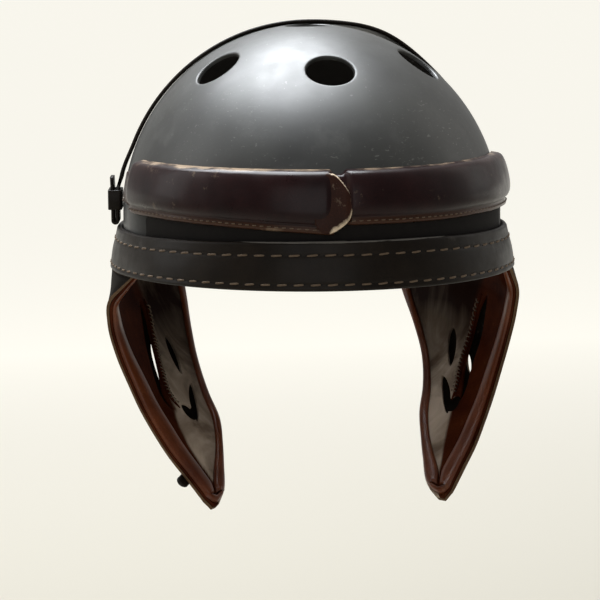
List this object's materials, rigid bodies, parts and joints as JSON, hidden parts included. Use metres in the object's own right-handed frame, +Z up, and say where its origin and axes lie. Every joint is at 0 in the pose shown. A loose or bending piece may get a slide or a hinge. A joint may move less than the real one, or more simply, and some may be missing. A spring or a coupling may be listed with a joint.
{
  "type": "tanker helmet",
  "caption": "Vented fibre dome helmet with a padded leather bumper, folded rim band, crown strap and lined leather ear flaps.",
  "frame": {"origin": "middle of the head opening, level with the bottom of the rim band", "axes": "+Z up towards the crown, -Y to the front of the helmet, +X to the wearer's left"},
  "size_m": [0.2312, 0.2654, 0.2628],
  "materials": {
    "fibre": "satin black fibre, scuffed",
    "black_leather": "black leather, worn",
    "oxblood_leather": "dark oxblood leather, padded and scuffed",
    "brown_leather": "glossy red-brown leather"
  },
  "bodies": {
    "root": {"dome_shell": "fibre", "rim_band": "black_leather", "bumper_right": "oxblood_leather", "bumper_left": "oxblood_leather", "crown_strap": "black_leather", "strap_loop_right": "black_leather", "strap_loop_left": "black_leather", "ear_flap_right": "black_leather", "ear_flap_left": "black_leather", "ear_lining_right": "brown_leather", "ear_lining_left": "brown_leather", "flap_hem_right": "brown_leather", "flap_hem_left": "brown_leather", "ear_roll_right": "brown_leather", "ear_roll_left": "brown_leather", "chin_strap_end_right": "black_leather", "chin_strap_end_left": "black_leather"}
  },
  "joints": []
}
